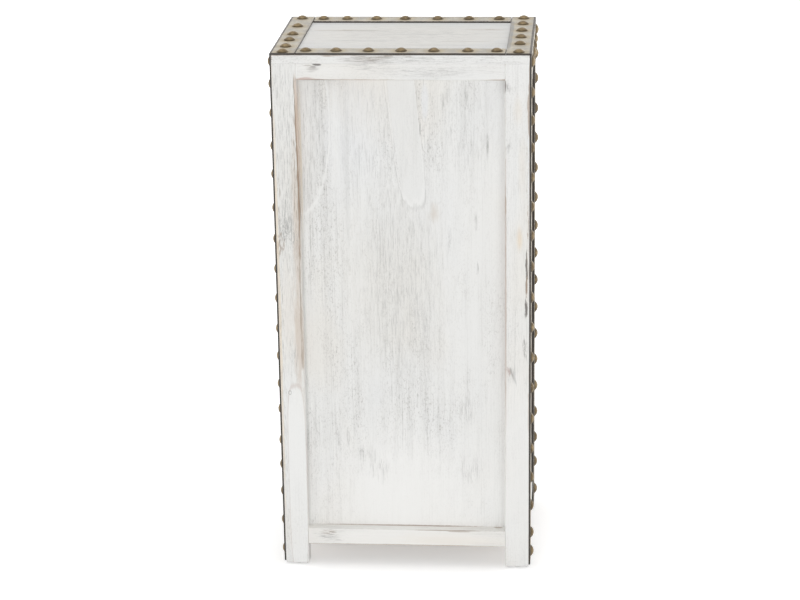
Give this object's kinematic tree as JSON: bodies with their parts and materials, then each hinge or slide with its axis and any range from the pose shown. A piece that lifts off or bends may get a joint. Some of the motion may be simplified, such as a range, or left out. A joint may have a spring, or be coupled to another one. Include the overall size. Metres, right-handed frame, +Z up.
{
  "type": "chest of drawers",
  "caption": "Tall narrow chest of drawers in whitewashed wood, with nailed straps along its edges, brass ring pulls and a plain framed back.",
  "frame": {"origin": "on the floor, in the middle of the box round the whole chest", "axes": "+Z up, the drawers open towards -Y, the plain back faces +Y, and +X is on the right of someone facing the drawers"},
  "size_m": [0.369, 0.2722, 0.768],
  "materials": {
    "whitewashed_wood": "matt whitewash worn thin over pine",
    "bare_wood": "bare sanded pine",
    "strap": "whitewashed strap with dark edges",
    "nail": "antique brass, dull",
    "pull": "antique brass, rubbed on its high spots",
    "glide": "white moulded plastic"
  },
  "bodies": {
    "case": {"back_bottom_rail": "whitewashed_wood", "back_panel": "whitewashed_wood", "back_top_rail": "whitewashed_wood", "drawer_divider_1": "whitewashed_wood", "drawer_divider_2": "whitewashed_wood", "drawer_divider_3": "whitewashed_wood", "drawer_runners_left": "bare_wood", "drawer_runners_right": "bare_wood", "drawer_stops": "bare_wood", "foot_glides": "glide", "front_bottom_rail": "whitewashed_wood", "front_nails": "nail", "front_straps": "strap", "front_top_rail": "whitewashed_wood", "post_back_left": "whitewashed_wood", "post_back_right": "whitewashed_wood", "post_front_left": "whitewashed_wood", "post_front_right": "whitewashed_wood", "side_bottom_rail_left": "whitewashed_wood", "side_bottom_rail_right": "whitewashed_wood", "side_nails_left": "nail", "side_nails_right": "nail", "side_panel_left": "whitewashed_wood", "side_panel_right": "whitewashed_wood", "side_straps_left": "strap", "side_straps_right": "strap", "side_top_rail_left": "whitewashed_wood", "side_top_rail_right": "whitewashed_wood", "top_board": "whitewashed_wood", "top_cleats": "bare_wood", "top_nails": "nail", "top_straps": "strap"},
    "drawer_1": {"drawer_front_1": "whitewashed_wood", "drawer_side_left_1": "bare_wood", "drawer_side_right_1": "bare_wood", "drawer_back_1": "bare_wood", "drawer_bottom_1": "bare_wood", "pull_plate_1": "pull"},
    "ring_1": {"pull_ring_1": "pull"},
    "drawer_2": {"drawer_front_2": "whitewashed_wood", "drawer_side_left_2": "bare_wood", "drawer_side_right_2": "bare_wood", "drawer_back_2": "bare_wood", "drawer_bottom_2": "bare_wood", "pull_plate_2": "pull"},
    "ring_2": {"pull_ring_2": "pull"},
    "drawer_3": {"drawer_front_3": "whitewashed_wood", "drawer_side_left_3": "bare_wood", "drawer_side_right_3": "bare_wood", "drawer_back_3": "bare_wood", "drawer_bottom_3": "bare_wood", "pull_plate_3": "pull"},
    "ring_3": {"pull_ring_3": "pull"},
    "drawer_4": {"drawer_front_4": "whitewashed_wood", "drawer_side_left_4": "bare_wood", "drawer_side_right_4": "bare_wood", "drawer_back_4": "bare_wood", "drawer_bottom_4": "bare_wood", "pull_plate_4": "pull"},
    "ring_4": {"pull_ring_4": "pull"}
  },
  "joints": [
    {"name": "drawer_1_slide", "type": "slide", "parent": "case", "child": "drawer_1", "axis": [0, -1, 0], "range_m": [0, 0.1684]},
    {"name": "ring_1_swing", "type": "hinge", "parent": "drawer_1", "child": "ring_1", "pos_m": [0, -0.1305, 0.15306], "axis": [-1, 0, 0], "range_deg": [0, 85]},
    {"name": "drawer_2_slide", "type": "slide", "parent": "case", "child": "drawer_2", "axis": [0, -1, 0], "range_m": [0, 0.1684]},
    {"name": "ring_2_swing", "type": "hinge", "parent": "drawer_2", "child": "ring_2", "pos_m": [0, -0.1305, 0.32419], "axis": [-1, 0, 0], "range_deg": [0, 85]},
    {"name": "drawer_3_slide", "type": "slide", "parent": "case", "child": "drawer_3", "axis": [0, -1, 0], "range_m": [0, 0.1684]},
    {"name": "ring_3_swing", "type": "hinge", "parent": "drawer_3", "child": "ring_3", "pos_m": [0, -0.1305, 0.49531], "axis": [-1, 0, 0], "range_deg": [0, 85]},
    {"name": "drawer_4_slide", "type": "slide", "parent": "case", "child": "drawer_4", "axis": [0, -1, 0], "range_m": [0, 0.1684]},
    {"name": "ring_4_swing", "type": "hinge", "parent": "drawer_4", "child": "ring_4", "pos_m": [0, -0.1305, 0.66644], "axis": [-1, 0, 0], "range_deg": [0, 85]}
  ]
}
